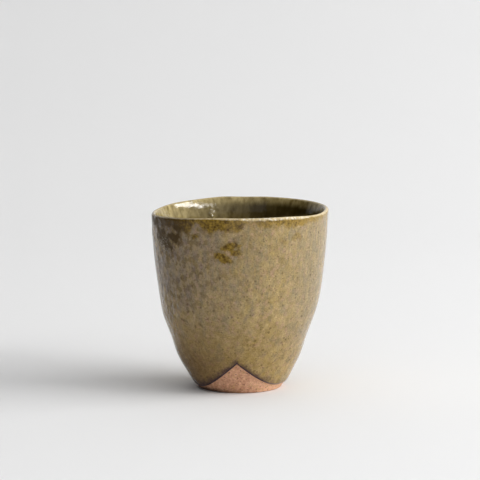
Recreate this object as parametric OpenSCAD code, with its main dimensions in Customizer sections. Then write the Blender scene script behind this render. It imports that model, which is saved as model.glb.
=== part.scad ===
// Hand-thrown yunomi tea cup: a fired clay body, dipped in glaze outside and lined with glaze.
// The origin is on the table under the middle of the foot. +Z is up and the front is at -Y.
// Azimuths run from the front towards +X, in degrees. Lengths are in millimetres.

/* [Cup] */
// Height from the table to the highest part of the rim, over the glaze
cup_h = 81; // [74:0.5:90]
// Diameter at the rim, over the glaze
rim_d = 80; // [72:0.5:88]
// Diameter of the foot, where the line of the wall meets the table
foot_d = 36.2; // [30:0.2:44]

/* [Clay] */
// Thickness of the clay wall below the lip
wall_t = 3.2; // [2.4:0.1:4.4]
// Thickness of the clay at the lip
lip_t = 1.4; // [1.1:0.1:2.2]
// Height over which the wall thins towards the lip
thinning_h = 14; // [9:0.5:22]
// Angle of the inside of the lip from upright
lip_slope = 25; // [12:1:34]
// Thickness of the clay in the middle of the floor
floor_t = 5.5; // [4:0.25:8]
// Height over which the inside rounds from the wall to the floor
bowl_h = 20; // [14:0.5:28]

/* [Foot] */
// Width of the flat ring that stands on the table
foot_ring_w = 5.5; // [4:0.25:7]
// Depth of the shallow hollow turned under the foot
hollow_h = 1.6; // [0.8:0.1:2.6]
// Width of the slope round that hollow
hollow_slope_w = 1.3; // [0.6:0.1:2.4]
// Size of the softened outer edge of the foot
foot_edge = 0.9; // [0.4:0.1:1.4]

/* [Glaze] */
// Thickness of the fired glaze, outside and inside
glaze_t = 0.45; // [0.3:0.05:0.7]
// Width of the thin dark edge where the outer glaze ends
dark_edge_w = 0.7; // [0.4:0.1:1.2]
// Height of the peak of bare clay that the dipping left at the front
peak_h = 14.6; // [8:0.2:22]
// Azimuth of that peak
peak_az = -2.7; // [-30:0.1:30]
// Height of the end of the glaze on the right side
right_line_h = 3.1; // [2:0.1:6]
// Height of the end of the glaze on the left side
left_line_h = 1.8; // [1.6:0.1:6]
// Angle over which the line falls away to the right of the peak
right_fall = 61; // [40:1:80]
// Angle over which it falls away to the left
left_fall = 59; // [40:1:80]
// How much steeper the line is near its peak, as a power
peak_power = 2.1; // [1.6:0.1:3]

/* [Hand marks] */
// Drop of the low side of the rim
rim_dip_h = 2.5; // [0:0.1:4]
// Azimuth of the low side
rim_dip_az = -90; // [-180:1:180]
// Angle on each side over which the rim sinks to its lowest point
rim_dip_span = 84; // [60:1:140]
// Depth of the deepest of the small waves along the rim
rim_wave_h = 0.9; // [0:0.05:1.4]
// How far the rim is out of round, on the radius
oval_depth = 0.3; // [0:0.05:0.6]
// Azimuth of the wider way across
oval_az = 20; // [0:1:180]
// Depth of the deepest flat that the hands left on the wall
flat_depth = 0.9; // [0:0.1:1.4]

/* [Hidden] */

// Outline of the clay wall, each point as [share of the height, share of the flare from foot to rim]
wall_shares = [
    [0, 0], [0.04, 0.12], [0.09, 0.228], [0.18, 0.398], [0.27, 0.535],
    [0.4, 0.728], [0.49, 0.803], [0.62, 0.876], [0.8, 0.948], [1, 1]
];

// Flats and swellings left by the hands, each as
// [azimuth, share of the height, angle to its edge, share of the height to its edge, share of the depth]
flat_shares = [
    [80, 0.36, 46, 0.2, 0.95],
    [-95, 0.36, 45, 0.2, -0.25],
    [-95, 0.18, 50, 0.15, -0.95],
    [-98, 0.74, 40, 0.22, -0.25],
    [-64, 0.7, 34, 0.17, 0.35],
    [22, 0.3, 30, 0.16, 0.3],
    [-35, 0.45, 26, 0.15, 0.25],
    [145, 0.56, 40, 0.24, 0.6],
    [-150, 0.33, 36, 0.2, 0.5]
];

// Waves along the rim, each as [azimuth, angle to its edge, share of the depth]
wave_shares = [[62, 36, 1], [-150, 26, 0.4], [178, 18, 0.25], [-38, 20, 0.2]];

// Outside of the dark edge from its end upwards, each point as
// [share of its width, share of the thickness of the glaze]
dark_edge_shares = [[0, 0.3], [0.45, 0.9]];

// The stations gather towards the foot outside and towards the lip inside, where the wall bends
// most, by these powers
gathering = 1.2;
inner_gathering = 1.6;
// Roundness of the bottom of the inside, as the power of a superellipse
bowl_power = 2.5;

columns = 60;
bare_steps = 3;
wall_steps = 12;
lip_steps = 6;
inner_steps = 9;
bowl_steps = 7;

foot_r = foot_d / 2;
lip_r = rim_d / 2 - glaze_t;
hollow_r = foot_r - foot_ring_w;
floor_z = hollow_h + floor_t;
bowl_top_z = floor_z + bowl_h;

clay_colour = [0.75, 0.51, 0.4];
glaze_colour = [0.56, 0.48, 0.33];
dark_edge_colour = [0.27, 0.17, 0.14];
lining_colour = [0.42, 0.35, 0.17];

// Azimuth of a column. One column lies on the peak of the bare clay.
function azimuth(column) = peak_az + 360 * column / columns;

// Angle from one azimuth to another, from -180 to 180
function turn(from, to) = (to - from + 900) % 360 - 180;

// A smooth hump, 1 at zero and 0 from -1 and 1 outwards
function hump(x) = abs(x) < 1 ? (1 + cos(180 * x)) / 2 : 0;

function mix(a, b, share) = a + (b - a) * share;

// Slope of the curve at one of its points
function slope_at(points, i) =
    let (before = points[max(0, i - 1)], after = points[min(len(points) - 1, i + 1)])
    (after.y - before.y) / (after.x - before.x);

// Smooth curve through points in order of x
function curve(points, x, i = 0) =
    i < len(points) - 2 && x > points[i + 1].x ? curve(points, x, i + 1)
    : let (
        p = points[i],
        q = points[i + 1],
        span = q.x - p.x,
        t = (x - p.x) / span,
        bend = slope_at(points, i) * pow(1 - t, 2) * t - slope_at(points, i + 1) * pow(t, 2) * (1 - t)
    )
    mix(p.y, q.y, t * t * (3 - 2 * t)) + span * bend;

// What the hands took from the radius at one flat
function flat_at(az, height_share, f) =
    f[4] * flat_depth * hump(turn(f[0], az) / f[2]) * hump((height_share - f[1]) / f[3]);

function hand_marks(az, height_share, i = 0) =
    i == len(flat_shares) ? -oval_depth * cos(2 * turn(oval_az, az)) * height_share
    : flat_at(az, height_share, flat_shares[i]) + hand_marks(az, height_share, i + 1);

// Radius of the outside of the clay
function wall_r(az, z) =
    mix(foot_r, lip_r, curve(wall_shares, z / cup_h)) - hand_marks(az, z / cup_h);

// How far the small waves lower the rim
function rim_waves(az, i = 0) =
    i == len(wave_shares) ? 0
    : let (w = wave_shares[i])
    w[2] * rim_wave_h * hump(turn(w[0], az) / w[1]) + rim_waves(az, i + 1);

// Top of the rim, over the glaze
function rim_z(az) =
    cup_h - rim_dip_h * hump(turn(rim_dip_az, az) / rim_dip_span) - rim_waves(az);

// Where the wall passes into the round of the lip
function shoulder_z(az) = rim_z(az) - glaze_t - lip_t / 2;

// Where the round of the lip passes into the slope inside, and the thickness of the clay there
function lip_end_z(az) = shoulder_z(az) + lip_t / 2 * sin(lip_slope);
lip_end_t = lip_t / 2 * (1 + cos(lip_slope));

// Thickness of the clay wall. This power lets the inside leave the lip at its slope.
thinning_power = tan(lip_slope) * thinning_h / (wall_t - lip_end_t);
function clay_t(az, z) =
    mix(wall_t, lip_end_t, pow(1 - min(1, (lip_end_z(az) - z) / thinning_h), thinning_power));

// Height of the end of the outer glaze: low all round, with one peak at the front
function line_z(az) =
    let (
        off = turn(peak_az, az),
        low = mix(left_line_h, right_line_h, (1 + sin(off)) / 2),
        near = max(0, 1 - abs(off) / (off > 0 ? right_fall : left_fall))
    )
    mix(low, peak_h, pow(near, peak_power));

// Height of the dark edge over the line, so that it keeps its width where the line is steep
function dark_edge_h(az) =
    let (
        step = 180 / columns,
        rise = max(abs(line_z(az + step) - line_z(az)), abs(line_z(az - step) - line_z(az))),
        run = wall_r(az, line_z(az)) * step * PI / 180
    )
    dark_edge_w * sqrt(1 + pow(rise / run, 2));

// The clay's outline, in parts, each a list of [radius, height]

// From the middle of the underside to the flat ring's outer edge
function under_part() =
    [[0, hollow_h], [hollow_r - hollow_slope_w, hollow_h], [hollow_r, 0], [foot_r - foot_edge, 0]];

// Bare wall from the softened edge of the foot to the end of the glaze
function bare_part(az) = [
    for (k = [0:bare_steps])
        let (z = mix(foot_edge, line_z(az), k / bare_steps))
        [wall_r(az, z), z]
];

// Glazed wall from the top of the dark edge to the lip
function wall_part(az) =
    let (low = line_z(az) + dark_edge_h(az))
    [
        for (k = [0:wall_steps])
            let (z = mix(low, shoulder_z(az), pow(k / wall_steps, gathering)))
            [wall_r(az, z), z]
    ];

// Turn round the lip at one of its steps, a quarter turn at the crest
function lip_turn(k) =
    k < lip_steps / 2 ? 180 * k / lip_steps
    : 90 + (90 - lip_slope) * (2 * k / lip_steps - 1);

// Round of the lip, from the wall outside to the slope inside
function lip_part(az) =
    let (z = shoulder_z(az), middle_r = wall_r(az, z) - lip_t / 2)
    [
        for (k = [1:lip_steps])
            [middle_r + lip_t / 2 * cos(lip_turn(k)), z + lip_t / 2 * sin(lip_turn(k))]
    ];

// Inside wall, from the slope of the lip down to the bowl of the bottom
function inner_part(az) = [
    for (k = [1:inner_steps])
        let (z = mix(lip_end_z(az), bowl_top_z, pow(k / inner_steps, inner_gathering)))
        [wall_r(az, z) - clay_t(az, z), z]
];

// Bottom of the inside, a quarter of a superellipse that ends in the middle of the floor
function bowl_part(az) = [
    for (k = [1:bowl_steps])
        let (
            angle = 90 * k / bowl_steps,
            z = floor_z + bowl_h * (1 - pow(sin(angle), 2 / bowl_power)),
            reach = k < bowl_steps ? pow(cos(angle), 2 / bowl_power) : 0
        )
        [(wall_r(az, z) - clay_t(az, z)) * reach, z]
];

function clay_outline(az) =
    concat(under_part(), bare_part(az), wall_part(az), lip_part(az), inner_part(az), bowl_part(az));

// Places along the outline
line_at = len(under_part()) + bare_steps;
dark_edge_top_at = line_at + 1;
crest_at = dark_edge_top_at + wall_steps + lip_steps / 2;
floor_at = crest_at + lip_steps / 2 + inner_steps + bowl_steps;

// Direction straight out of the clay at a place along the outline
function outwards(outline, k) =
    k == floor_at ? [0, 1]
    : let (run = outline[k + 1] - outline[k - 1])
    [run.y, -run.x] / norm(run);

// The outside of the glaze over a stretch of the outline
function coat(outline, from, to) =
    [for (k = [from:to]) outline[k] + glaze_t * outwards(outline, k)];

function stretch(outline, from, to) = [for (k = [from:to]) outline[k]];

function reversed(points) = [for (k = [len(points) - 1:-1:0]) points[k]];

// Section of the dark edge: thin at its end, and as thick as the glaze at its top
function dark_edge_section(outline) =
    let (end = outline[line_at], top = outline[dark_edge_top_at])
    concat(
        [for (s = dark_edge_shares) mix(end, top, s.x) + s.y * glaze_t * outwards(outline, line_at)],
        coat(outline, dark_edge_top_at, dark_edge_top_at),
        [top, end]
    );

// Point of a section, put at its column
function placed(point, column) =
    [point.x * sin(azimuth(column)), -point.x * cos(azimuth(column)), point.y];

// Two triangles between one step of a section and the same step of the next
function step_faces(a, b, c, d) = [[a, b, c], [a, c, d]];

// Solid swept once round the axis, through a closed section at each column, anticlockwise with
// the radius to the right and the height upwards
module ring_round(sections) {
    n = len(sections[0]);
    points = [for (i = [0:columns - 1]) for (p = sections[i]) placed(p, i)];
    faces = [
        for (i = [0:columns - 1])
            for (k = [0:n - 1])
                let (here = i * n, next = (i + 1) % columns * n, up = (k + 1) % n)
                each step_faces(here + k, here + up, next + up, next + k)
    ];
    polyhedron(points, faces, convexity = 6);
}

// Solid swept once round the axis, through a section at each column that starts and ends on the
// axis and runs anticlockwise
module bowl_round(sections) {
    n = len(sections[0]) - 2;
    last = columns * n;
    points = concat(
        [for (i = [0:columns - 1]) for (k = [1:n]) placed(sections[i][k], i)],
        [placed(sections[0][0], 0), placed(sections[0][n + 1], 0)]
    );
    faces = [
        for (i = [0:columns - 1])
            let (here = i * n, next = (i + 1) % columns * n)
            each concat(
                [[last, here, next], [last + 1, next + n - 1, here + n - 1]],
                [for (k = [0:n - 2]) each step_faces(here + k, here + k + 1, next + k + 1, next + k)]
            )
    ];
    polyhedron(points, faces, convexity = 6);
}

outlines = [for (i = [0:columns - 1]) clay_outline(azimuth(i))];

// The fired clay: wall, floor and flat foot
module clay_body() {
    color(clay_colour)
        bowl_round(outlines);
}

// Thin margin of the outer glaze that burnt dark along its end
module glaze_edge() {
    color(dark_edge_colour)
        ring_round([for (o = outlines) dark_edge_section(o)]);
}

// Dipped glaze from the dark edge to the crest of the lip
module outer_glaze() {
    color(glaze_colour)
        ring_round([
            for (o = outlines)
                concat(
                    coat(o, dark_edge_top_at, crest_at),
                    reversed(stretch(o, dark_edge_top_at, crest_at))
                )
        ]);
}

// Glaze poured inside, from the crest of the lip to the middle of the floor
module inner_glaze() {
    color(lining_colour)
        bowl_round([
            for (o = outlines)
                concat(
                    reversed(stretch(o, crest_at, floor_at)),
                    coat(o, crest_at, floor_at)
                )
        ]);
}

clay_body();
glaze_edge();
outer_glaze();
inner_glaze();
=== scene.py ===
import functools
import math

import bpy
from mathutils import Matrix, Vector, noise


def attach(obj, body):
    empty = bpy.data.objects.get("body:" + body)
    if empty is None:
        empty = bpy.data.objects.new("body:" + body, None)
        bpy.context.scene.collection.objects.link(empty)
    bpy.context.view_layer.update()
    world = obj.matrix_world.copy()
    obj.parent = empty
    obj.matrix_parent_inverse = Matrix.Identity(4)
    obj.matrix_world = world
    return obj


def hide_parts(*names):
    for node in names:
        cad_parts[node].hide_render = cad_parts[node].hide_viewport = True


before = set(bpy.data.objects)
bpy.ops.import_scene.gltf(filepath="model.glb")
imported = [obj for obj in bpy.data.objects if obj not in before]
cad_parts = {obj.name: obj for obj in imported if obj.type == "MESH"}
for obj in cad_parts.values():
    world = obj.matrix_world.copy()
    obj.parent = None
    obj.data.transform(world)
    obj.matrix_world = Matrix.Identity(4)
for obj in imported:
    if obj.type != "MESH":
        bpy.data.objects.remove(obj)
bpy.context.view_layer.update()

# A hand-thrown yunomi tea cup: bare clay, a dipped glaze outside and a poured glaze inside.
# Lengths are in metres. Azimuths run from the front, -Y, towards +X, in degrees.

MM = 0.001

# The cup's sizes, as in the CAD model
CUP_H = 81 * MM
FOOT_R = 18.1 * MM
GLAZE_T = 0.45 * MM
LIP_R = 40 * MM - GLAZE_T
WALL_T = 3.2 * MM
LIP_T = 1.4 * MM
THINNING_H = 14 * MM
LIP_SLOPE = math.radians(25)
FLOOR_T = 5.5 * MM
BOWL_H = 20 * MM
FOOT_RING_W = 5.5 * MM
HOLLOW_H = 1.6 * MM
HOLLOW_SLOPE_W = 1.3 * MM
FOOT_EDGE = 0.9 * MM
DARK_EDGE_W = 0.7 * MM
PEAK_H = 14.6 * MM
PEAK_AZ = -2.7
RIGHT_LINE_H = 3.1 * MM
LEFT_LINE_H = 1.8 * MM
RIGHT_FALL = 61
LEFT_FALL = 59
PEAK_POWER = 2.1
RIM_DIP_H = 2.5 * MM
RIM_DIP_AZ = -90
RIM_DIP_SPAN = 84
RIM_WAVE_H = 0.9 * MM
OVAL_DEPTH = 0.3 * MM
OVAL_AZ = 20
FLAT_DEPTH = 0.9 * MM
BOWL_POWER = 2.5
HOLLOW_R = FOOT_R - FOOT_RING_W
FLOOR_Z = HOLLOW_H + FLOOR_T
LIP_END_T = LIP_T / 2 * (1 + math.cos(LIP_SLOPE))
THINNING_POWER = math.tan(LIP_SLOPE) * THINNING_H / (WALL_T - LIP_END_T)

# Angle on each side over which the steepness of the end of the glaze is taken
STEEPNESS_STEP = 3

# Outline of the clay wall: share of the height, share of the flare from foot to rim
WALL_SHARES = (
    (0, 0), (0.04, 0.12), (0.09, 0.228), (0.18, 0.398), (0.27, 0.535),
    (0.4, 0.728), (0.49, 0.803), (0.62, 0.876), (0.8, 0.948), (1, 1),
)

# Flats and swellings left by the hands: azimuth, share of the height, angle to the edge,
# share of the height to the edge, share of the depth
FLAT_SHARES = (
    (80, 0.36, 46, 0.2, 0.95),
    (-95, 0.36, 45, 0.2, -0.25),
    (-95, 0.18, 50, 0.15, -0.95),
    (-98, 0.74, 40, 0.22, -0.25),
    (-64, 0.7, 34, 0.17, 0.35),
    (22, 0.3, 30, 0.16, 0.3),
    (-35, 0.45, 26, 0.15, 0.25),
    (145, 0.56, 40, 0.24, 0.6),
    (-150, 0.33, 36, 0.2, 0.5),
)

# Waves along the rim: azimuth, angle to the edge, share of the depth
WAVE_SHARES = ((62, 36, 1), (-150, 26, 0.4), (178, 18, 0.25), (-38, 20, 0.2))

# Outside of the dark edge: share of its width, share of the thickness of the glaze
DARK_EDGE_SHARES = ((0, 0.2), (0.08, 0.45), (0.25, 0.72), (0.5, 0.9), (0.75, 0.97), (1, 1))

# How finely the surfaces are divided: round the axis, then along the outline
WHEEL_STEPS = 50
CUTS_PER_STEP = 7
COLUMNS = WHEEL_STEPS * (CUTS_PER_STEP + 1)
HOLLOW_STEPS = 24
HOLLOW_SLOPE_STEPS = 8
FOOT_RING_STEPS = 12
FOOT_EDGE_STEPS = 4
BARE_STEPS = 30
WALL_STEPS = 124
HALF_LIP_STEPS = 18
INNER_STEPS = 86
BOWL_STEPS = 56
HIDDEN_STRIDE = 12
TOUCH = 0.001 * MM
SHARP_ANGLE = math.radians(50)


def turn(start, end):
    """Angle from one azimuth to another, from -180 to 180."""
    return (end - start + 180) % 360 - 180


def hump(x):
    """1 at zero, falling smoothly to 0 at -1 and 1."""
    return (1 + math.cos(math.pi * x)) / 2 if abs(x) < 1 else 0


def ramp(x, start, end):
    """0 at start and 1 at end, straight between. start may be above end."""
    return min(1, max(0, (x - start) / (end - start)))


def spot(az, up, spot_az, height, half_angle, half_height):
    """1 in the middle of a spot on the wall, falling smoothly to 0 at its edge."""
    return hump(turn(spot_az, az) / half_angle) * hump((up - height) / half_height)


def mix(a, b, share):
    return a + (b - a) * share


def curve(points, x):
    """Smooth curve through points in order of x."""
    i = 0
    while i < len(points) - 2 and x > points[i + 1][0]:
        i += 1

    def slope_at(k):
        before = points[max(0, k - 1)]
        after = points[min(len(points) - 1, k + 1)]
        return (after[1] - before[1]) / (after[0] - before[0])

    span = points[i + 1][0] - points[i][0]
    t = (x - points[i][0]) / span
    bend = slope_at(i) * (1 - t) ** 2 * t - slope_at(i + 1) * t ** 2 * (1 - t)
    return mix(points[i][1], points[i + 1][1], t * t * (3 - 2 * t)) + span * bend


def hand_marks(az, share):
    """What the hands took from the radius."""
    taken = -OVAL_DEPTH * math.cos(math.radians(2 * turn(OVAL_AZ, az))) * share
    for *place, depth in FLAT_SHARES:
        taken += depth * FLAT_DEPTH * spot(az, share, *place)
    return taken


def wall_r(az, z):
    """Radius of the outside of the clay."""
    share = z / CUP_H
    return mix(FOOT_R, LIP_R, curve(WALL_SHARES, share)) - hand_marks(az, share)


def rim_z(az):
    """Top of the rim, over the glaze."""
    dip = RIM_DIP_H * hump(turn(RIM_DIP_AZ, az) / RIM_DIP_SPAN)
    for wave_az, reach, depth in WAVE_SHARES:
        dip += depth * RIM_WAVE_H * hump(turn(wave_az, az) / reach)
    return CUP_H - dip


def shoulder_z(az):
    """Height at which the lip starts to close over."""
    return rim_z(az) - GLAZE_T - LIP_T / 2


def line_z(az):
    """Height of the end of the outer glaze: low all round, with one peak at the front."""
    off = turn(PEAK_AZ, az)
    low = mix(LEFT_LINE_H, RIGHT_LINE_H, (1 + math.sin(math.radians(off))) / 2)
    near = max(0, 1 - abs(off) / (RIGHT_FALL if off > 0 else LEFT_FALL))
    return mix(low, PEAK_H, near ** PEAK_POWER)


def dark_edge_h(az):
    """Height of the dark edge, which keeps its width where the line is steep."""
    here = line_z(az)
    after = abs(line_z(az + STEEPNESS_STEP) - here)
    before = abs(line_z(az - STEEPNESS_STEP) - here)
    rise = max(after, before)
    run = wall_r(az, here) * math.radians(STEEPNESS_STEP)
    return DARK_EDGE_W * math.hypot(1, rise / run)


# The outline of the clay, from the middle of the underside to the middle of the floor inside

def steps(count, first=0):
    """Shares from 0 to 1 in even steps, from the first one asked for."""
    return [k / count for k in range(first, count + 1)]


def underside():
    """The shallow hollow under the cup, and the ring that it stands on."""
    slope_r = HOLLOW_R - HOLLOW_SLOPE_W
    points = [(slope_r * share, HOLLOW_H) for share in steps(HOLLOW_STEPS)]
    for share in steps(HOLLOW_SLOPE_STEPS, 1):
        points.append((mix(slope_r, HOLLOW_R, share), HOLLOW_H * hump(share)))
    for share in steps(FOOT_RING_STEPS, 1):
        points.append((mix(HOLLOW_R, FOOT_R - FOOT_EDGE, share), 0))
    return points


def foot_edge(az):
    """The softened edge of the foot."""
    ring_r = FOOT_R - FOOT_EDGE
    reach = wall_r(az, FOOT_EDGE) - ring_r
    angles = [share * math.pi / 2 for share in steps(FOOT_EDGE_STEPS, 1)]
    return [(ring_r + reach * math.sin(a), FOOT_EDGE * (1 - math.cos(a))) for a in angles]


def outer_wall(az):
    """The bare clay, the clay under the dark edge, and the wall up to the shoulder of the lip."""
    line = line_z(az)
    edge = dark_edge_h(az)
    heights = [mix(FOOT_EDGE, line, share) for share in steps(BARE_STEPS, 1)]
    heights += [line + edge * share for share, _ in DARK_EDGE_SHARES[1:]]
    heights += [mix(line + edge, shoulder_z(az), share) for share in steps(WALL_STEPS, 1)]
    return [(wall_r(az, z), z) for z in heights]


def lip(az):
    """The round lip, up to its crest and down to the slope inside."""
    shoulder = shoulder_z(az)
    middle = wall_r(az, shoulder) - LIP_T / 2
    quarter = math.pi / 2
    angles = [quarter * share for share in steps(HALF_LIP_STEPS, 1)]
    angles += [quarter + (quarter - LIP_SLOPE) * share for share in steps(HALF_LIP_STEPS, 1)]
    return [(middle + LIP_T / 2 * math.cos(a), shoulder + LIP_T / 2 * math.sin(a)) for a in angles]


def inner_wall(az):
    """The wall inside, thin below the lip, and the round bowl down to the floor."""
    lip_end = shoulder_z(az) + LIP_T / 2 * math.sin(LIP_SLOPE)
    bowl_top = FLOOR_Z + BOWL_H

    def inside_r(z):
        thin = (1 - min(1, (lip_end - z) / THINNING_H)) ** THINNING_POWER
        return wall_r(az, z) - mix(WALL_T, LIP_END_T, thin)

    heights = [mix(lip_end, bowl_top, share) for share in steps(INNER_STEPS, 1)]
    points = [(inside_r(z), z) for z in heights]
    for share in steps(BOWL_STEPS, 1):
        angle = share * math.pi / 2
        z = FLOOR_Z + BOWL_H * (1 - math.sin(angle) ** (2 / BOWL_POWER))
        reach = math.cos(angle) ** (2 / BOWL_POWER) if share < 1 else 0
        points.append((inside_r(z) * reach, z))
    return points


@functools.cache
def clay_outline(az):
    return underside() + foot_edge(az) + outer_wall(az) + lip(az) + inner_wall(az)


# Places along the outline, counted from the middle of the underside
FOOT_AT = HOLLOW_STEPS + HOLLOW_SLOPE_STEPS + FOOT_RING_STEPS + FOOT_EDGE_STEPS
LINE_AT = FOOT_AT + BARE_STEPS
EDGE_AT = LINE_AT + len(DARK_EDGE_SHARES) - 1
CREST_AT = EDGE_AT + WALL_STEPS + HALF_LIP_STEPS
FLOOR_AT = CREST_AT + HALF_LIP_STEPS + INNER_STEPS + BOWL_STEPS


def outwards(outline, k):
    """Direction straight out of the clay at a place along the outline."""
    if k in (0, FLOOR_AT):
        return (0, 1 if k else -1)
    run_r = outline[k + 1][0] - outline[k - 1][0]
    run_z = outline[k + 1][1] - outline[k - 1][1]
    length = math.hypot(run_r, run_z)
    return (run_z / length, -run_r / length)


def azimuth_of(co):
    return math.degrees(math.atan2(co.x, -co.y))


def upright(az, r, z):
    """The point at an azimuth, a radius and a height."""
    angle = math.radians(az)
    return Vector((r * math.sin(angle), -r * math.cos(angle), z))


# Turning a piece, and shaping it by hand

def deselect_all():
    if bpy.context.object and bpy.context.object.mode != "OBJECT":
        bpy.ops.object.mode_set(mode="OBJECT")
    bpy.ops.object.select_all(action="DESELECT")


def turned(name, section):
    """Turns a section round the axis. Each of its points is a place along the clay's outline
    and a thickness of glaze over it, and both stay with the points of the mesh."""
    deselect_all()
    bpy.ops.mesh.primitive_circle_add(vertices=len(section), radius=FOOT_R)
    piece = bpy.context.object
    piece.name = piece.data.name = name
    mesh = piece.data
    place = mesh.attributes.new("place", "FLOAT", "POINT").data
    skin = mesh.attributes.new("skin", "FLOAT", "POINT").data
    front = clay_outline(0)
    for vertex, (k, thickness) in zip(mesh.vertices, section):
        out = outwards(front, k)
        vertex.co = (0, -front[k][0] - out[0] * thickness, front[k][1] + out[1] * thickness)
        place[vertex.index].value = k
        skin[vertex.index].value = thickness
    bpy.ops.object.mode_set(mode="EDIT")
    bpy.ops.mesh.select_mode(type="VERT")
    bpy.ops.mesh.select_all(action="SELECT")
    bpy.ops.mesh.spin(
        steps=WHEEL_STEPS, angle=math.tau, use_auto_merge=True, center=(0, 0, 0), axis=(0, 0, 1)
    )
    bpy.ops.mesh.select_all(action="SELECT")
    bpy.ops.mesh.remove_doubles(threshold=TOUCH)
    bpy.ops.mesh.delete_loose(use_verts=True, use_edges=True, use_faces=False)
    divide_round(mesh)
    bpy.ops.mesh.select_all(action="SELECT")
    bpy.ops.mesh.normals_make_consistent(inside=False)
    bpy.ops.object.mode_set(mode="OBJECT")
    return piece


def divide_round(mesh):
    """Divides the edges that run round the axis, and leaves those along the outline."""
    bpy.ops.mesh.select_mode(type="EDGE")
    bpy.ops.mesh.select_all(action="DESELECT")
    bpy.ops.object.mode_set(mode="OBJECT")
    points = mesh.vertices
    for edge in mesh.edges:
        a, b = (points[i].co for i in edge.vertices)
        level = abs(a.z - b.z) < TOUCH
        edge.select = level and abs(a.xy.length - b.xy.length) < TOUCH
    bpy.ops.object.mode_set(mode="EDIT")
    bpy.ops.mesh.subdivide(number_cuts=CUTS_PER_STEP)


def shaped_by_hand(piece, hollow):
    """Moves each point from the even turned form to the hand-made one. hollow gives how far the
    surface sinks there, in millimetres, from the point, its azimuth, its place along the outline
    and whether glaze lies over it."""
    mesh = piece.data
    place = mesh.attributes["place"].data
    skin = mesh.attributes["skin"].data
    for vertex in mesh.vertices:
        column = round(azimuth_of(vertex.co) * COLUMNS / 360) % COLUMNS
        az = turn(0, column * 360 / COLUMNS)
        outline = clay_outline(az)
        k = round(place[vertex.index].value)
        r, z = outline[k]
        out = outwards(outline, k)
        rise = skin[vertex.index].value
        rise -= hollow(upright(az, r, z), az, k, rise > 0) * MM
        vertex.co = upright(az, r + out[0] * rise, z + out[1] * rise)
    mesh.update()


def finish_shape(piece):
    """Smooth shading, with the hidden ends of each layer left sharp."""
    deselect_all()
    piece.select_set(True)
    bpy.context.view_layer.objects.active = piece
    bpy.ops.object.shade_smooth_by_angle(angle=SHARP_ANGLE)


# The relief of each surface, level at the ends of its layer

GLAZE_LEVEL_STEPS = 8
LINING_LEVEL_STEPS = 12
CLAY_LEVEL_STEPS = 4

# Where fingers held the cup to dip it: azimuth, height in millimetres, half the angle, half the
# height
HELD_SPOT = (-56, 38, 26, 20)


def swelling(co, depth, size, shift=0, round_share=1, up_share=1):
    """Depth of soft swellings of about one size, both in millimetres. A share below 1 draws them
    out round the cup or upwards, and a shift gives others of the same kind."""
    drawn = co * Vector((round_share, round_share, up_share))
    return depth * (0.5 + 0.5 * noise.noise(drawn / (size * MM) + Vector((shift, 0, 0))))


def dented_at(az, z):
    """How much the glaze is dented where fingers held the cup to dip it."""
    return spot(az, z, *HELD_SPOT)


def glaze_relief(co, az, k, glazed):
    """Large and small swellings, throwing rings, and the dents of the fingers."""
    if not glazed:
        return 0
    depth = swelling(co, depth=0.13, size=9)
    depth += swelling(co, depth=0.05, size=3.2, shift=3)
    depth += swelling(co, depth=0.05, size=3.4, shift=7, round_share=0.35)
    dents = swelling(co, depth=0.16, size=2.6, shift=11, up_share=0.5)
    depth += dented_at(az, co.z / MM) * dents
    return depth * ramp(k, EDGE_AT, EDGE_AT + GLAZE_LEVEL_STEPS)


def lining_relief(co, az, k, glazed):
    """Swellings that go on over the crest of the lip, and throwing rings below it."""
    if not glazed:
        return 0
    rings = swelling(co, depth=0.1, size=3, shift=5, round_share=0.3)
    rings += swelling(co, depth=0.05, size=3.5, shift=2)
    below_crest = ramp(k, CREST_AT, CREST_AT + LINING_LEVEL_STEPS)
    return swelling(co, depth=0.05, size=9) + below_crest * rings


def clay_relief(co, az, k, glazed):
    """The unevenness of the bare clay between the foot and the dark edge."""
    if not FOOT_AT < k < LINE_AT:
        return 0
    over_foot = ramp(k, FOOT_AT, FOOT_AT + CLAY_LEVEL_STEPS)
    under_line = ramp(k, LINE_AT, LINE_AT - CLAY_LEVEL_STEPS)
    depth = swelling(co, depth=0.04, size=0.8) + swelling(co, depth=0.05, size=5)
    return min(over_foot, under_line) * depth


def no_relief(co, az, k, glazed):
    return 0


# The pieces. The hidden side of each layer, against the next one, needs only a few points.

hidden_wall = [*range(EDGE_AT, CREST_AT, HIDDEN_STRIDE), CREST_AT]
hidden_inside = [*range(CREST_AT, FLOOR_AT, HIDDEN_STRIDE), FLOOR_AT]

outer_glaze = turned(
    "glaze_outside",
    [(k, GLAZE_T) for k in range(EDGE_AT, CREST_AT + 1)] + [(k, 0) for k in reversed(hidden_wall)],
)
shaped_by_hand(outer_glaze, glaze_relief)
inner_glaze = turned(
    "glaze_inside",
    [(k, GLAZE_T) for k in range(CREST_AT, FLOOR_AT + 1)] + [(k, 0) for k in reversed(hidden_inside)],
)
shaped_by_hand(inner_glaze, lining_relief)
glaze_edge = turned(
    "dark_edge_of_glaze",
    [(LINE_AT + i, share * GLAZE_T) for i, (_, share) in enumerate(DARK_EDGE_SHARES)]
    + [(EDGE_AT, 0), (LINE_AT, 0)],
)
shaped_by_hand(glaze_edge, no_relief)
clay_body = turned(
    "clay_cup",
    [(k, 0) for k in range(LINE_AT + 1)] + [(k, 0) for k in hidden_wall + hidden_inside[1:]],
)
shaped_by_hand(clay_body, clay_relief)

for piece, node, slot in (
    (outer_glaze, "outer_glaze", "outer_glaze"),
    (inner_glaze, "inner_glaze", "inner_glaze"),
    (glaze_edge, "glaze_edge", "dark_glaze_edge"),
    (clay_body, "clay_body", "bare_clay"),
):
    finish_shape(piece)
    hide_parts(node)
    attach(piece, "root")


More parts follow.
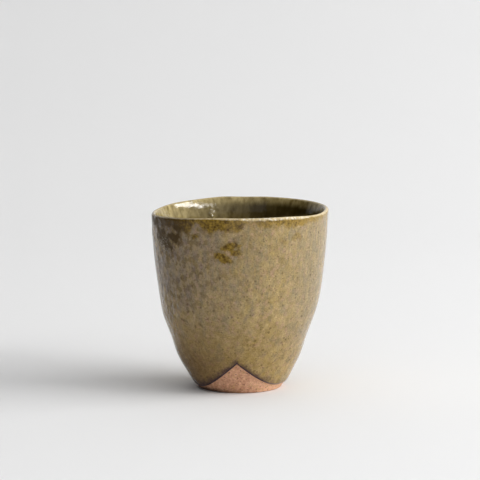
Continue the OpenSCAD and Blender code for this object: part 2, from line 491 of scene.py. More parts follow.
# Where the glaze ran thick or thin, and where light, shade and glints are painted, stored with the
# points of the mesh. Heights and depths below the rim are in millimetres.

# Lower edge of the dark band under the rim: azimuth, depth below the rim
BAND_DEPTHS = (
    (-180, 5), (-150, 3.6), (-130, 5.6), (-112, 3.8), (-92, 5.2), (-76, 4.4), (-64, 5.6),
    (-52, 4.5), (-45, 4.8), (-40, 6.6), (-35, 6.3), (-31, 3.3), (-26, 3.1), (-22, 5.8), (-16, 6.3),
    (-10, 6), (-3, 6.4), (1, 5.8), (4, 2.8), (10, 2.5), (13, 4.3), (18, 4.6), (22, 3.6), (34, 4.3),
    (50, 3.4), (62, 2), (80, 2.6), (104, 3.8), (126, 5.2), (146, 3.2), (166, 5.4), (180, 5),
)
# How dark that band is: azimuth, share
BAND_SHARES = (
    (-180, 0.8), (-140, 0.95), (-100, 0.8), (-60, 1), (-42, 0.95), (-30, 0.88), (-20, 1),
    (-11, 1), (-6, 0.8), (0, 0.75), (6, 0.5), (15, 0.7), (24, 0.82), (50, 0.72), (75, 0.45),
    (110, 0.6), (150, 0.7), (180, 0.8),
)
# Dark pools of thick glaze: azimuth, height, half the angle, half the height, and how far the
# pool leans over that half angle
POOLS = (
    (-71, 76.5, 9, 2, 0), (-62, 70.8, 7.5, 4, 0), (-56, 67.6, 8, 4.8, 0), (-48, 70.4, 6.5, 4, 0),
    (-42.5, 75.2, 5.5, 2.2, 0), (-30.4, 72.1, 3, 1.2, 0), (-11, 63.1, 5.6, 1.9, -1.2),
    (-5.5, 68.5, 5.9, 1.8, 0.6), (-2.5, 66, 3.8, 1.6, 0), (28.5, 70.4, 3, 1.5, 0),
    (39.4, 71.9, 4, 1.8, 0), (92, 71, 5, 2.2, 0.6), (118, 66.5, 4, 1.8, -1), (141, 70, 6, 2.4, 0),
    (163, 64, 4, 2, 1), (-164, 69.5, 6, 2.6, 0), (-138, 66, 4, 3, 0), (-121, 70.5, 5, 2, -0.8),
    (-97, 67, 3.5, 2.6, 0), (-83, 71, 3, 1.6, 0),
)
# What the mark of the pools holds far from all of them
FAR_FROM_POOLS = -2
# Creases in the glaze, sunk in the relief and painted dark as shade: azimuth, height, half the angle,
# then how far the line leans and bows
CREASES = (
    (-46.6, 33.7, 5.1, -0.8, 0.8), (-30.4, 32.5, 3.5, -1.2, 0.3), (-40, 41.5, 2, 0, 0),
    (-40.5, 38, 2.4, 0.3, 0), (-24, 35.5, 1.4, 0, 0), (-58, 40, 3, 1.5, 0.5), (-62, 35, 3, -1.4, 0.4),
)
CREASE_HALF_W = 1
# How pale the crest of the lip shows: azimuth, share
CREST_SHARES = (
    (-180, 0.25), (-115, 0.3), (-85, 0.5), (-40, 0.6), (-5, 1), (80, 1), (110, 0.5), (180, 0.25),
)
# How much the dark edge of the dip line fades: azimuth, share
FADED_SHARES = ((-180, 0), (18, 0), (45, 0.7), (75, 0.9), (110, 0.2), (130, 0), (180, 0))

# Single spots: azimuth, height or depth below the rim, half the angle, half the height
PITS_AND_GLINTS_SPOT = (-60, 67, 10, 6)
BEADS_AND_GLINTS_BELOW_RIM = (22, 0.9, 42, 1.5)
DROP_BELOW_RIM = (-159.5, 8, 4, 3)

# What covers one side of the cup: azimuth of the middle, angle to the edge or how narrow it is,
# and the heights at which it starts and is full
FILM_AZ = -62
FILM_NARROWNESS = 3.8
FILM_HEIGHTS = (22, 52)
BROWNER_NARROWNESS = 3.2
BROWNER_HEIGHTS = (36, 14)
PALE_FILM_AZ = 60
PALE_FILM_ANGLE = 46
PALE_FILM_HEIGHTS = (8, 23)
# Painted shade inside at the back right, where the rim shades the wall
INNER_SHADE_AZ = 125
INNER_SHADE_NARROWNESS = 2
INNER_SHADE_GAIN = 1.25
# Painted light: the clay is paler on the right, the side the windows light
LIT_SIDE_CLAY_AZ = 52
LIT_SIDE_CLAY_ANGLE = 52
# Painted shade along the bottom of the foot on the left, standing in for the contact shadow
FOOT_SHADE_AZ = -55
FOOT_SHADE_ANGLE = 85
FOOT_SHADE_HEIGHTS = (2.4, 0.8)


def below_rim(az, z):
    return rim_z(az) / MM - z


def side(az, middle_az):
    """1 on one side of the cup, falling smoothly to 0 on the other."""
    return 0.5 + 0.5 * math.cos(math.radians(turn(middle_az, az)))


def band_at(az, z):
    """Millimetres into the dark band from its lower edge."""
    return curve(BAND_DEPTHS, az) - below_rim(az, z)


def pool_at(az, z):
    """1 in the middle of a pool, 0 at its edge and less outside it."""
    most = FAR_FROM_POOLS
    for pool_az, height, half_angle, half_height, lean in POOLS:
        across = turn(pool_az, az) / half_angle
        up = (z - height - lean * across) / half_height
        most = max(most, 1 - math.hypot(across, up))
    return most


def creased_at(az, z):
    """1 along the middle of a crease and 0 outside it."""
    most = 0
    for crease_az, height, half_angle, lean, bow in CREASES:
        across = turn(crease_az, az) / half_angle
        if abs(across) < 1:
            away = abs(z - height - lean * across - bow * across * across) / CREASE_HALF_W
            most = max(most, hump(across) * hump(away))
    return most


def film_at(az, z):
    """Share of the greyish film, thickest high up on the left."""
    return side(az, FILM_AZ) ** FILM_NARROWNESS * ramp(z, *FILM_HEIGHTS)


def browner_at(az, z):
    """Share of the browner glaze, low down on the left."""
    return side(az, FILM_AZ) ** BROWNER_NARROWNESS * ramp(z, *BROWNER_HEIGHTS)


def pale_at(az, z):
    """Share of the pale film that runs down the right side."""
    return hump(turn(PALE_FILM_AZ, az) / PALE_FILM_ANGLE) * ramp(z, *PALE_FILM_HEIGHTS)


def beads_and_glints_at(az, z):
    """Where the glaze is beaded just outside the crest, on the right of the front; pale glints are
    painted there too.
    """
    return spot(az, below_rim(az, z), *BEADS_AND_GLINTS_BELOW_RIM)


def pits_and_glints_at(az, z):
    """Where the glaze bubbled and left pits, beside the dark pools on the left; pale glints are
    painted there too.
    """
    return spot(az, z, *PITS_AND_GLINTS_SPOT)


def painted_inner_shade_at(az, z):
    """Painted shade inside: little on the left and much at the back right, where the rim shades the
    wall.
    """
    return min(1, INNER_SHADE_GAIN * side(az, INNER_SHADE_AZ) ** INNER_SHADE_NARROWNESS)


def drop_at(az, z):
    """A drop of glaze that ran and stopped inside, at the back."""
    return spot(az, below_rim(az, z), *DROP_BELOW_RIM)


def painted_foot_shade_at(az, z):
    """Painted shade along the bottom of the foot, on the left: a dark brown band that stands in for
    the contact shadow.
    """
    return hump(turn(FOOT_SHADE_AZ, az) / FOOT_SHADE_ANGLE) * ramp(z, *FOOT_SHADE_HEIGHTS)


def mark(piece, name, value_at):
    """Stores a value at each point of a piece, for its material. It depends on the azimuth and
    on the height in millimetres."""
    mesh = piece.data
    values = [value_at(azimuth_of(vertex.co), vertex.co.z / MM) for vertex in mesh.vertices]
    mesh.attributes.new(name, "FLOAT", "POINT").data.foreach_set("value", values)


mark(outer_glaze, "height", lambda az, z: z)
mark(outer_glaze, "over_line", lambda az, z: z - line_z(az) / MM)
mark(outer_glaze, "band", band_at)
mark(outer_glaze, "band_share", lambda az, z: curve(BAND_SHARES, az))
mark(outer_glaze, "pool", pool_at)
mark(outer_glaze, "film", film_at)
mark(outer_glaze, "browner", browner_at)
mark(outer_glaze, "pale", pale_at)
mark(outer_glaze, "beads_and_glints", beads_and_glints_at)
mark(outer_glaze, "pits_and_glints", pits_and_glints_at)
mark(outer_glaze, "creased", creased_at)
mark(outer_glaze, "dented", dented_at)
mark(inner_glaze, "painted_inner_shade", painted_inner_shade_at)
mark(inner_glaze, "drop", drop_at)
for glaze in (outer_glaze, inner_glaze):
    mark(glaze, "below_crest", below_rim)
    mark(glaze, "pale_crest", lambda az, z: curve(CREST_SHARES, az))
for piece in (outer_glaze, glaze_edge):
    mark(piece, "faded", lambda az, z: curve(FADED_SHARES, az))
mark(clay_body, "paler", lambda az, z: hump(turn(LIT_SIDE_CLAY_AZ, az) / LIT_SIDE_CLAY_ANGLE))
mark(clay_body, "painted_foot_shade", painted_foot_shade_at)


# Tools for the materials

def named(sockets, name):
    return next(s for s in sockets if name in (s.identifier, s.name))


def give(tree, socket, value):
    if isinstance(value, bpy.types.NodeSocket):
        tree.links.new(value, socket)
    else:
        socket.default_value = value


def add(tree, kind, values=None, **settings):
    """Adds a node. Each of values sets one of its sockets, or links that socket to another."""
    made = tree.nodes.new(kind)
    for name, setting in settings.items():
        setattr(made, name, setting)
    for name, value in (values or {}).items():
        give(tree, named(made.inputs, name), value)
    return made


def attribute(tree, name):
    return add(tree, "ShaderNodeAttribute", attribute_name=name).outputs["Fac"]


def rising(tree, value, start, end):
    """0 at start and 1 at end, smooth between. start may be above end."""
    made = add(
        tree, "ShaderNodeMapRange", {"Value": value, "From Min": start, "From Max": end},
        interpolation_type="SMOOTHSTEP",
    )
    return made.outputs["Result"]


def worked(tree, operation, first, second):
    made = add(tree, "ShaderNodeMath", {"Value": first, "Value_001": second}, operation=operation)
    return made.outputs["Value"]


def times(tree, first, second):
    return worked(tree, "MULTIPLY", first, second)


def plus(tree, first, second):
    return worked(tree, "ADD", first, second)


def larger(tree, first, second):
    return worked(tree, "MAXIMUM", first, second)


def one_over(tree, value):
    return worked(tree, "DIVIDE", 1, value)


def coloured(value):
    return (*value, 1) if isinstance(value, tuple) else value


def blend(tree, share, first, second, blend_type="MIX"):
    """A colour between two, or the first one multiplied towards the second."""
    made = add(
        tree, "ShaderNodeMix",
        {"Factor_Float": share, "A_Color": coloured(first), "B_Color": coloured(second)},
        data_type="RGBA", blend_type=blend_type,
    )
    return named(made.outputs, "Result_Color")


def grouped(tree, group, result, values):
    """Puts a shared effect into a material and gives its result."""
    made = add(tree, "ShaderNodeGroup", node_tree=group)
    for name, value in values.items():
        give(tree, made.inputs[name], value)
    return made.outputs[result]


# Effects that several materials share. Their sizes are in millimetres.

# Part of the noise's range that is drawn out to run from 0 to 1
CLOUD_RANGE = (0.28, 0.72)
# The smallest speck, as a share of the given radius, then where a speck starts and is full, as
# shares of its own radius
LEAST_SPECK_SHARE = 0.45
SPECK_EDGE_SHARES = (1.4, 0.4)
# How far the end of the thin glaze strays, and the depth down to which it is thinnest
LIP_RAGGEDNESS = 0.5
CREST_DEPTH = 0.35


def new_effect(name, given, result):
    """Starts an effect, with the values given to it and the name of its result."""
    tree = bpy.data.node_groups.new(name, "ShaderNodeTree")
    for label, value in given.items():
        socket = tree.interface.new_socket(label, in_out="INPUT", socket_type="NodeSocketFloat")
        socket.default_value = value
    tree.interface.new_socket(result, in_out="OUTPUT", socket_type="NodeSocketFloat")
    return tree, add(tree, "NodeGroupInput").outputs, add(tree, "NodeGroupOutput").inputs[result]


def millimetres(tree, height_share=1):
    """The place on the object in millimetres, with its height squeezed by a share."""
    place = add(tree, "ShaderNodeTexCoord").outputs["Object"]
    per_metre = 1 / MM
    scale = add(
        tree, "ShaderNodeCombineXYZ",
        {"X": per_metre, "Y": per_metre, "Z": times(tree, per_metre, height_share)},
    )
    made = add(
        tree, "ShaderNodeVectorMath", {"Vector": place, "Vector_001": scale.outputs["Vector"]},
        operation="MULTIPLY",
    )
    return made.outputs["Vector"]


def cloud_effect():
    """Soft irregular patches from 0 to 1, longer upwards where Stretch is above 1."""
    tree, given, result = new_effect(
        "clouds", {"Size": 1, "Stretch": 1, "Detail": 2, "Seed": 0}, "Clouds"
    )
    noisy = add(
        tree, "ShaderNodeTexNoise",
        {"Vector": millimetres(tree, one_over(tree, given["Stretch"])), "W": given["Seed"],
         "Scale": one_over(tree, given["Size"]), "Detail": given["Detail"]},
        noise_dimensions="4D",
    )
    low, high = CLOUD_RANGE
    value = add(
        tree, "ShaderNodeMapRange",
        {"Value": noisy.outputs[0], "From Min": low, "From Max": high},
    )
    give(tree, result, value.outputs["Result"])
    return tree


def speck_effect():
    """Scattered round specks, 1 inside and 0 outside. Share is the part of them that shows."""
    tree, given, result = new_effect(
        "specks", {"Spacing": 3, "Radius": 0.4, "Share": 0.5}, "Specks"
    )
    cells = add(
        tree, "ShaderNodeTexVoronoi",
        {"Vector": millimetres(tree), "Scale": one_over(tree, given["Spacing"])},
    )
    dice = add(tree, "ShaderNodeSeparateColor", {"Color": cells.outputs["Color"]}).outputs
    radius = times(tree, given["Radius"], plus(tree, LEAST_SPECK_SHARE, dice["Green"]))
    away = times(tree, cells.outputs["Distance"], given["Spacing"])
    inside = rising(tree, worked(tree, "DIVIDE", away, radius), *SPECK_EDGE_SHARES)
    shown = worked(tree, "LESS_THAN", dice["Red"], given["Share"])
    give(tree, result, times(tree, inside, shown))
    return tree


def skin_effect():
    """Height of the fine orange peel of a fired glaze."""
    tree, given, result = new_effect("orange peel", {"Size": 1.2, "Depth": 0.02}, "Height")
    noisy = add(
        tree, "ShaderNodeTexNoise",
        {"Vector": millimetres(tree), "Scale": one_over(tree, given["Size"]), "Detail": 1},
    )
    give(tree, result, times(tree, noisy.outputs[0], given["Depth"]))
    return tree


def thin_effect():
    """Where the glaze drew back from the lip: 1 on the crest, and 0 below it past a ragged end
    that lies at Reach or up to LIP_RAGGEDNESS farther."""
    tree, given, result = new_effect("thin on the lip", {"Below Crest": 1, "Reach": 0.5}, "Thin")
    ragged = times(tree, cloud(tree, size=1.6, seed=4), LIP_RAGGEDNESS)
    depth = plus(tree, given["Below Crest"], ragged)
    end = plus(tree, given["Reach"], LIP_RAGGEDNESS)
    give(tree, result, rising(tree, depth, end, CREST_DEPTH))
    return tree


def cloud(tree, size, seed, stretch=1, detail=2):
    values = {"Size": size, "Seed": seed, "Stretch": stretch, "Detail": detail}
    return grouped(tree, clouds, "Clouds", values)


def patches(tree, start, full, share, **pattern):
    """Patches of a cloud, from the value at which they start to the one at which they show their
    full share."""
    return times(tree, rising(tree, cloud(tree, **pattern), start, full), share)


def uneven(tree, least, more, **pattern):
    """A value that varies like a cloud, from least up to least and more."""
    return plus(tree, least, times(tree, cloud(tree, **pattern), more))


def bumps(tree, height, **pattern):
    """Bumps like a cloud, up to a height in millimetres, or down where that is below 0."""
    return times(tree, cloud(tree, **pattern), height)


def scattered(tree, spacing, radius, share):
    return grouped(tree, specks, "Specks", {"Spacing": spacing, "Radius": radius, "Share": share})


def peel(tree, size, depth):
    return grouped(tree, orange_peel, "Height", {"Size": size, "Depth": depth})


def pale_lip(tree, reach):
    """Where the thin glaze on the lip shows pale."""
    values = {"Below Crest": attribute(tree, "below_crest"), "Reach": reach}
    return times(tree, grouped(tree, thin_lip, "Thin", values), attribute(tree, "pale_crest"))


clouds = cloud_effect()
specks = speck_effect()
orange_peel = skin_effect()
thin_lip = thin_effect()


def new_material(name, piece, roughness, specular=0.5):
    material = bpy.data.materials.new(name)
    material.use_nodes = True
    piece.data.materials.append(material)
    shader = material.node_tree.nodes["Principled BSDF"]
    shader.inputs["Roughness"].default_value = roughness
    shader.inputs["Specular IOR Level"].default_value = specular
    return material.node_tree, shader


def relief(tree, shader, height):
    """Bump from a height in millimetres."""
    made = add(tree, "ShaderNodeBump", {"Height": height, "Distance": MM})
    tree.links.new(made.outputs["Normal"], shader.inputs["Normal"])


# Colours of the outer glaze
OLIVE = (0.25, 0.18, 0.068)
TAN = (0.515, 0.378, 0.175)
ROSE = (0.45, 0.29, 0.175)
GOLD = (0.42, 0.295, 0.085)
GREY = (0.22, 0.193, 0.12)
FILM = (0.218, 0.172, 0.146)
PURPLE_FILM = (0.165, 0.124, 0.128)
FILM_BROWN = (0.155, 0.1, 0.032)
PALE_FILM = (0.24, 0.195, 0.13)
AMBER = (0.285, 0.178, 0.024)
BROWN_AMBER = (0.07, 0.036, 0.002)
POOL_BROWN = (0.06, 0.032, 0.002)
LOW_GOLD = (0.33, 0.19, 0.03)
LOW_BROWN = (0.145, 0.078, 0.022)
MAUVE = (0.07, 0.036, 0.034)
# Pale spots painted as glints on the patch of pits and on the beaded lip
PAINTED_GLINT = (0.8, 0.74, 0.62)

# Colours that both glazes share
IRON_BROWN_AND_CREASE_SHADE = (0.07, 0.038, 0.018)
CREAM = (0.64, 0.52, 0.31)

# Colours of the inner glaze
INNER_OLIVE = (0.13, 0.09, 0.016)
INNER_TAN = (0.52, 0.415, 0.19)
INNER_RUNS = (0.12, 0.085, 0.02)
# Also the colour of the painted shade inside
DARK_AMBER = (0.03, 0.018, 0.002)

# Colours of the dark edge
BURNT = (0.012, 0.006, 0.01)
BURNT_MAUVE = (0.055, 0.028, 0.032)
FADED_EDGE = (0.34, 0.23, 0.17)

# Colours of the clay
CLAY = (0.6, 0.31, 0.18)
PALE_CLAY = (0.88, 0.54, 0.35)
RED_CLAY = (0.38, 0.15, 0.085)
SANDY = (0.52, 0.33, 0.12)
GRIT = (0.16, 0.075, 0.05)
# Painted shade along the foot, for the contact shadow
FOOT_SHADE = (0.05, 0.025, 0.018)

# Heights over the table, or depths below the rim, at which a part of the pattern starts and is
# full, in millimetres
RUNS_HEIGHTS = (25, 55)
LOW_GOLD_HEIGHTS = (42, 12)
# Depths below the rim at which the painted shade inside starts and is full
INNER_SHADE_DEPTHS = (0.6, 4.5)
DARK_DEPTHS = (10, 66)

# Depths below the rim that the pale glaze on the lip reaches at least, in millimetres
OUTER_PALE_LIP = 0.6
INNER_PALE_LIP = 0.5

# Start and full height of the dark band over its lower edge, and of the mauve line over the end of
# the glaze, with how far they stray, in millimetres
BAND_EDGE = (-1.4, 1.6)
BAND_RAGGEDNESS = 3
MAUVE_OVER_LINE = (4.3, 1)
LINE_RAGGEDNESS = 2.4
FINE_LINE_RAGGEDNESS = 1.4

# Relief in the surface of the outer glaze, in millimetres
IRON_DEPTH = 0.02
CREASE_DEPTH = 0.2
LUMP_HEIGHT = 0.12
FILM_LUMP_HEIGHT = 0.16


def mottled_glaze(tree):
    """The glaze by itself: olive and tan, with rosy, golden and grey patches."""
    colour = blend(tree, cloud(tree, size=2.3, seed=1, stretch=1.2, detail=4), OLIVE, TAN)
    rosy = patches(tree, start=0.4, full=1, share=0.95, size=2.2, seed=2, detail=5)
    colour = blend(tree, rosy, colour, ROSE)
    golden = patches(tree, start=0.35, full=1, share=0.4, size=3.4, seed=12, detail=3)
    colour = blend(tree, golden, colour, GOLD)
    grey = patches(tree, start=0.5, full=0.9, share=0.48, size=3.6, seed=3, stretch=1.6, detail=3)
    return blend(tree, grey, colour, GREY)


def filmed_glaze(tree, colour, film, pale):
    """The film on the left, with brown and purple patches, and the pale film on the right."""
    cover = uneven(tree, least=0.05, more=0.95, size=3.2, seed=5, stretch=1.8, detail=3)
    colour = blend(tree, times(tree, film, cover), colour, FILM)
    brown = patches(tree, start=0.42, full=0.7, share=0.8, size=2.6, seed=16, detail=3)
    colour = blend(tree, times(tree, film, brown), colour, FILM_BROWN)
    purple = patches(tree, start=0.45, full=0.75, share=0.42, size=2.6, seed=20, stretch=1.6, detail=3)
    colour = blend(tree, times(tree, film, purple), colour, PURPLE_FILM)
    streaks = uneven(tree, least=0.35, more=0.4, size=1.1, seed=18, stretch=8)
    return blend(tree, times(tree, pale, streaks), colour, PALE_FILM)


def glaze_by_height(tree, colour):
    """Grey runs high up, gold low down, and browner glaze at the lower left."""
    height = attribute(tree, "height")
    runs = patches(tree, start=0.45, full=0.9, share=0.4, size=0.8, seed=6, stretch=6)
    colour = blend(tree, times(tree, runs, rising(tree, height, *RUNS_HEIGHTS)), colour, GREY)
    low = times(tree, rising(tree, height, *LOW_GOLD_HEIGHTS), 0.2)
    colour = blend(tree, low, colour, LOW_GOLD)
    browner = uneven(tree, least=0.6, more=0.4, size=1.6, seed=15, detail=3)
    browner = times(tree, attribute(tree, "browner"), browner)
    return blend(tree, browner, colour, LOW_BROWN)


def pools_of_glaze(tree, film, ragged):
    """Where the glaze stands in pools, which are fainter outside the film."""
    into_pool = plus(tree, attribute(tree, "pool"), times(tree, ragged, 1.3))
    pool_share = plus(tree, 0.4, times(tree, rising(tree, film, 0.2, 0.4), 0.6))
    return times(tree, rising(tree, into_pool, -0.35, 0.45), pool_share)


def thick_glaze(tree, colour, film, pale, ragged, pool, burnt):
    """The dark band under the rim and the pools, amber where the light comes through, with painted
    glints beside them: pale spots on the patch of pits that stand in for highlights."""
    into_band = plus(tree, attribute(tree, "band"), times(tree, ragged, BAND_RAGGEDNESS))
    band = times(tree, rising(tree, into_band, *BAND_EDGE), attribute(tree, "band_share"))
    lit = times(tree, cloud(tree, size=1.3, seed=8, detail=4), rising(tree, film, 1.05, 0.7))
    lit = plus(tree, lit, times(tree, pale, 0.35))
    amber = blend(tree, rising(tree, lit, 0.08, 0.85), BROWN_AMBER, AMBER)
    amber = blend(tree, burnt, amber, POOL_BROWN)
    colour = blend(tree, larger(tree, band, pool), colour, amber)
    # Painted glints: pale spots on the patch of pits, standing in for highlights
    painted_pit_glints = patches(tree, start=0.6, full=0.85, share=0.8, size=0.5, seed=19)
    return blend(tree, times(tree, painted_pit_glints, attribute(tree, "pits_and_glints")), colour, PAINTED_GLINT)


def iron_specks(tree):
    """Coarse and fine specks of iron."""
    coarse = times(tree, scattered(tree, spacing=3, radius=0.5, share=0.6), 0.5)
    fine = times(tree, scattered(tree, spacing=1.4, radius=0.3, share=0.5), 0.45)
    return larger(tree, coarse, fine)


def mauve_line(tree, colour, ragged):
    """The mauve glaze along the dip line, which fades on the right."""
    over_line = plus(tree, attribute(tree, "over_line"), times(tree, ragged, LINE_RAGGEDNESS))
    fine = times(tree, cloud(tree, size=0.7, seed=17), FINE_LINE_RAGGEDNESS)
    mauve = rising(tree, plus(tree, over_line, fine), *MAUVE_OVER_LINE)
    kept = plus(tree, 0.85, times(tree, attribute(tree, "faded"), -0.7))
    return blend(tree, times(tree, mauve, kept), colour, MAUVE)


def dusted(tree, colour):
    """Fine unevenness in how light the glaze is."""
    dust = uneven(tree, least=0.76, more=0.48, size=0.6, seed=9)
    grey = add(tree, "ShaderNodeCombineColor", {"Red": dust, "Green": dust, "Blue": dust})
    return blend(tree, 1, colour, grey.outputs["Color"], "MULTIPLY")


def beaded_lip(tree, colour, beads_and_glints):
    """The pale crest of the lip, reaching lower where the glaze is beaded at the front right, with
    painted glints there: pale spots that stand in for highlights.
    """
    thin = pale_lip(tree, plus(tree, OUTER_PALE_LIP, beads_and_glints))
    colour = blend(tree, times(tree, thin, 0.9), colour, CREAM)
    # Painted glints: pale spots on the beaded crest, standing in for highlights
    bright = rising(tree, cloud(tree, size=0.9, seed=13, detail=1), 0.5, 0.75)
    bright = times(tree, times(tree, bright, thin), rising(tree, beads_and_glints, 0, 0.4))
    return blend(tree, bright, colour, PAINTED_GLINT)


def outer_surface(tree, film, beads_and_glints, iron, creases_and_shade):
    """Height of the outer glaze: its orange peel, sunk specks and crease lines, the beaded lip, pits,
    lumps and dents."""
    sunk = plus(tree, times(tree, iron, -IRON_DEPTH), times(tree, creases_and_shade, -CREASE_DEPTH))
    raised = times(tree, beads_and_glints, bumps(tree, height=0.6, size=1.5, seed=13, detail=1))
    pits = times(tree, attribute(tree, "pits_and_glints"), bumps(tree, height=-0.35, size=0.7, seed=11))
    lump_height = plus(tree, LUMP_HEIGHT, times(tree, film, FILM_LUMP_HEIGHT))
    lumps = bumps(tree, lump_height, size=3.2, seed=28, stretch=1.4, detail=1)
    dents = bumps(tree, height=0.8, size=2.4, seed=29, stretch=1.3, detail=1)
    dents = times(tree, attribute(tree, "dented"), dents)
    height = plus(tree, peel(tree, size=1.3, depth=0.06), sunk)
    height = plus(tree, height, plus(tree, raised, pits))
    return plus(tree, height, plus(tree, lumps, dents))


def finish_outer_glaze():
    tree, shader = new_material("outer_glaze", outer_glaze, roughness=0.12, specular=0.16)
    film = attribute(tree, "film")
    pale = attribute(tree, "pale")
    beads_and_glints = attribute(tree, "beads_and_glints")
    ragged = plus(tree, cloud(tree, size=2.6, seed=7, detail=4), -0.5)
    pool = pools_of_glaze(tree, film, ragged)
    burnt = times(tree, pool, rising(tree, film, 0.75, 0.95))
    creases_and_shade = times(tree, rising(tree, attribute(tree, "creased"), 0, 0.8), 0.6)
    # The crease lines join the iron specks here, so they are painted iron brown: painted shade in the
    # creases
    iron = larger(tree, iron_specks(tree), creases_and_shade)

    colour = mottled_glaze(tree)
    colour = filmed_glaze(tree, colour, film, pale)
    colour = glaze_by_height(tree, colour)
    colour = thick_glaze(tree, colour, film, pale, ragged, pool, burnt)
    # Iron specks, and painted shade in the creases
    colour = blend(tree, iron, colour, IRON_BROWN_AND_CREASE_SHADE)
    colour = mauve_line(tree, colour, ragged)
    colour = dusted(tree, colour)
    colour = beaded_lip(tree, colour, beads_and_glints)
    tree.links.new(colour, shader.inputs["Base Color"])
    rough = uneven(tree, least=0.1, more=0.08, size=3, seed=10)
    rough = plus(tree, rough, times(tree, burnt, 0.35))
    tree.links.new(rough, shader.inputs["Roughness"])
    relief(tree, shader, outer_surface(tree, film, beads_and_glints, iron, creases_and_shade))


def finish_inner_glaze():
    tree, shader = new_material("inner_glaze", inner_glaze, roughness=0.1, specular=0.4)
    below_crest = attribute(tree, "below_crest")
    tan = cloud(tree, size=2.6, seed=21, stretch=2, detail=3)
    colour = blend(tree, tan, INNER_OLIVE, INNER_TAN)
    runs = patches(tree, start=0.5, full=1, share=0.35, size=1.3, seed=22, stretch=12)
    colour = blend(tree, runs, colour, INNER_RUNS)
    # Painted shade: the wall inside is darkened at the back right, under the rim, where the rim shades
    # it
    inner_shade = times(tree, attribute(tree, "painted_inner_shade"), rising(tree, below_crest, *INNER_SHADE_DEPTHS))
    cover = uneven(tree, least=0.85, more=0.15, size=5, seed=25, stretch=1.3, detail=3)
    colour = blend(tree, times(tree, inner_shade, cover), colour, DARK_AMBER)
    deep = times(tree, rising(tree, below_crest, *DARK_DEPTHS), 0.75)
    colour = blend(tree, deep, colour, DARK_AMBER)
    iron = times(tree, scattered(tree, spacing=3.2, radius=0.3, share=0.6), 0.5)
    colour = blend(tree, iron, colour, IRON_BROWN_AND_CREASE_SHADE)
    colour = blend(tree, times(tree, pale_lip(tree, INNER_PALE_LIP), 0.8), colour, CREAM)
    tree.links.new(colour, shader.inputs["Base Color"])
    rough = uneven(tree, least=0.07, more=0.06, size=4, seed=24)
    tree.links.new(rough, shader.inputs["Roughness"])

    height = plus(tree, peel(tree, size=1.1, depth=0.05), bumps(tree, height=0.07, size=5, seed=26))
    drop = uneven(tree, least=0.3, more=0.3, size=1.4, seed=27)
    drop = times(tree, attribute(tree, "drop"), drop)
    relief(tree, shader, plus(tree, height, drop))


def finish_dark_edge():
    tree, shader = new_material("dark_edge", glaze_edge, roughness=0.38, specular=0.25)
    colour = blend(tree, cloud(tree, size=0.8, seed=31), BURNT, BURNT_MAUVE)
    colour = blend(tree, times(tree, attribute(tree, "faded"), 0.8), colour, FADED_EDGE)
    tree.links.new(colour, shader.inputs["Base Color"])
    relief(tree, shader, peel(tree, size=0.6, depth=0.03))


def finish_clay():
    tree, shader = new_material("bare_clay", clay_body, roughness=0.85, specular=0.25)
    colour = blend(tree, cloud(tree, size=0.9, seed=41, detail=4), RED_CLAY, PALE_CLAY)
    colour = blend(tree, 0.2, colour, CLAY)
    # Painted light: the clay is painted paler on its right, the side the windows light
    colour = blend(tree, times(tree, attribute(tree, "paler"), 0.8), colour, PALE_CLAY)
    sandy = patches(tree, start=0.45, full=1, share=0.6, size=1.1, seed=44, detail=3)
    colour = blend(tree, sandy, colour, SANDY)
    flushed = patches(tree, start=0.4, full=1, share=0.2, size=4, seed=42)
    colour = blend(tree, flushed, colour, RED_CLAY)
    grit = times(tree, scattered(tree, spacing=1, radius=0.26, share=0.5), 0.75)
    colour = blend(tree, grit, colour, GRIT)
    # Painted shade: the bottom of the foot is darkened on the left, standing in for the contact shadow
    foot_shade = uneven(tree, least=0.6, more=0.5, size=2.5, seed=45, detail=3)
    colour = blend(tree, times(tree, attribute(tree, "painted_foot_shade"), foot_shade), colour, FOOT_SHADE)
    tree.links.new(colour, shader.inputs["Base Color"])
    relief(tree, shader, bumps(tree, height=0.08, size=0.45, seed=43, detail=3))


finish_outer_glaze()
finish_inner_glaze()
finish_dark_edge()
finish_clay()


# Floor and backdrop in one sweep of paper, painted darker in front of the cup than behind it: painted
# shade on the floor in front

FLOOR_HALF = 2.5
SWEEP_START = 0.5
SWEEP_R = 0.7
SWEEP_STEPS = 32
BACKDROP_H = 2
NEAR_PAPER = (0.77, 0.77, 0.77)
FAR_PAPER = (0.845, 0.845, 0.845)
NEAR_PAPER_Y = -0.25
FAR_PAPER_Y = 0.65


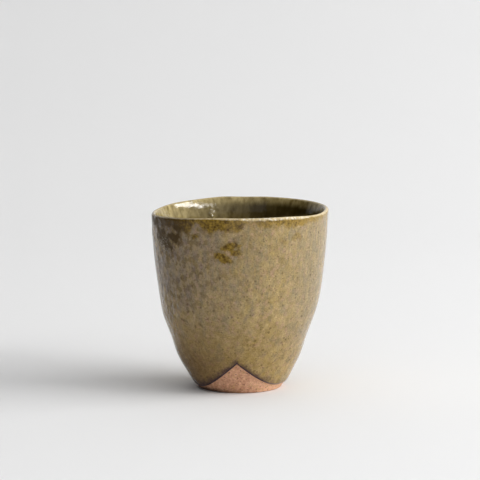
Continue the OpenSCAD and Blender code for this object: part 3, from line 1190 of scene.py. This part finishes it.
def sweep():
    deselect_all()
    bpy.ops.mesh.primitive_plane_add(size=2 * FLOOR_HALF, location=(0, SWEEP_START - FLOOR_HALF, 0))
    floor = bpy.context.object
    floor.name = "sweep"
    bpy.ops.object.transform_apply(location=True, rotation=False, scale=False)
    for edge in floor.data.edges:
        a, b = (floor.data.vertices[i].co for i in edge.vertices)
        edge.select = abs(a.y - SWEEP_START) < TOUCH and abs(b.y - SWEEP_START) < TOUCH
    for vertex in floor.data.vertices:
        vertex.select = abs(vertex.co.y - SWEEP_START) < TOUCH
    for face in floor.data.polygons:
        face.select = False
    bpy.ops.object.mode_set(mode="EDIT")
    bpy.ops.mesh.select_mode(type="EDGE")
    bpy.ops.mesh.spin(
        steps=SWEEP_STEPS, angle=math.pi / 2, center=(0, SWEEP_START, SWEEP_R), axis=(-1, 0, 0)
    )
    bpy.ops.mesh.extrude_region_move(TRANSFORM_OT_translate={"value": (0, 0, BACKDROP_H)})
    bpy.ops.object.mode_set(mode="OBJECT")
    bpy.ops.object.shade_smooth()
    tree, shader = new_material("paper", floor, roughness=0.9)
    place = add(tree, "ShaderNodeTexCoord").outputs["Object"]
    along = add(tree, "ShaderNodeSeparateXYZ", {"Vector": place}).outputs["Y"]
    # Painted shade: the paper is painted darker towards the front
    paler = rising(tree, along, NEAR_PAPER_Y, FAR_PAPER_Y)
    tree.links.new(blend(tree, paler, NEAR_PAPER, FAR_PAPER), shader.inputs["Base Color"])


sweep()


# Light

WINDOW_DISTANCE = 1.6
CUP_MIDDLE = Vector((0, 0, 50 * MM))


def window(name, az, elevation, size, watts):
    """A bright pane at an azimuth and an elevation from the cup, facing it."""
    light = bpy.data.lights.new(name, "AREA")
    light.shape = "RECTANGLE"
    light.size, light.size_y = size
    light.energy = watts
    lamp = bpy.data.objects.new(name, light)
    up = math.radians(elevation)
    away = upright(az, WINDOW_DISTANCE * math.cos(up), WINDOW_DISTANCE * math.sin(up))
    lamp.location = CUP_MIDDLE + away
    lamp.rotation_euler = (CUP_MIDDLE - lamp.location).to_track_quat("-Z", "Y").to_euler()
    bpy.context.scene.collection.objects.link(lamp)


window("window", az=83, elevation=31.5, size=(1.3, 0.25), watts=16.9)
window("window_in_front", az=58, elevation=31.5, size=(1.1, 0.25), watts=6)
window("soft_front", az=0, elevation=35, size=(2.4, 1.2), watts=3.7)

# The room is lit from above and from the side of the windows, and dark on the left. The light
# from above starts at the elevation whose sine is CEILING_START.
ROOM_ABOVE = 1
ROOM_RIGHT = 0.87
CEILING_START = 0.6


def room():
    world = bpy.data.worlds.new("room")
    bpy.context.scene.world = world
    world.use_nodes = True
    tree = world.node_tree
    background = tree.nodes["Background"]
    towards = add(tree, "ShaderNodeTexCoord").outputs["Generated"]
    towards = add(tree, "ShaderNodeSeparateXYZ", {"Vector": towards}).outputs
    above = add(
        tree, "ShaderNodeMapRange",
        {"Value": towards["Z"], "From Min": CEILING_START, "To Max": ROOM_ABOVE},
    )
    right = add(tree, "ShaderNodeMapRange", {"Value": towards["X"], "To Max": ROOM_RIGHT})
    strength = plus(tree, above.outputs["Result"], right.outputs["Result"])
    background.inputs["Color"].default_value = (1, 1, 1, 1)
    tree.links.new(strength, background.inputs["Strength"])


room()


# Camera, at the photograph's angle

CAMERA_AT = Vector((0, -1.4, 0.262))
AIM = Vector((0.0001, 0, 0.0661))
LENS_MM = 237.6
SENSOR_MM = 36

camera = bpy.data.objects.new("camera", bpy.data.cameras.new("camera"))
camera.data.lens = LENS_MM
camera.data.sensor_width = SENSOR_MM
camera.location = CAMERA_AT
camera.rotation_euler = (AIM - CAMERA_AT).to_track_quat("-Z", "Y").to_euler()
bpy.context.scene.collection.objects.link(camera)
bpy.context.scene.camera = camera
bpy.context.scene.view_settings.view_transform = "Standard"
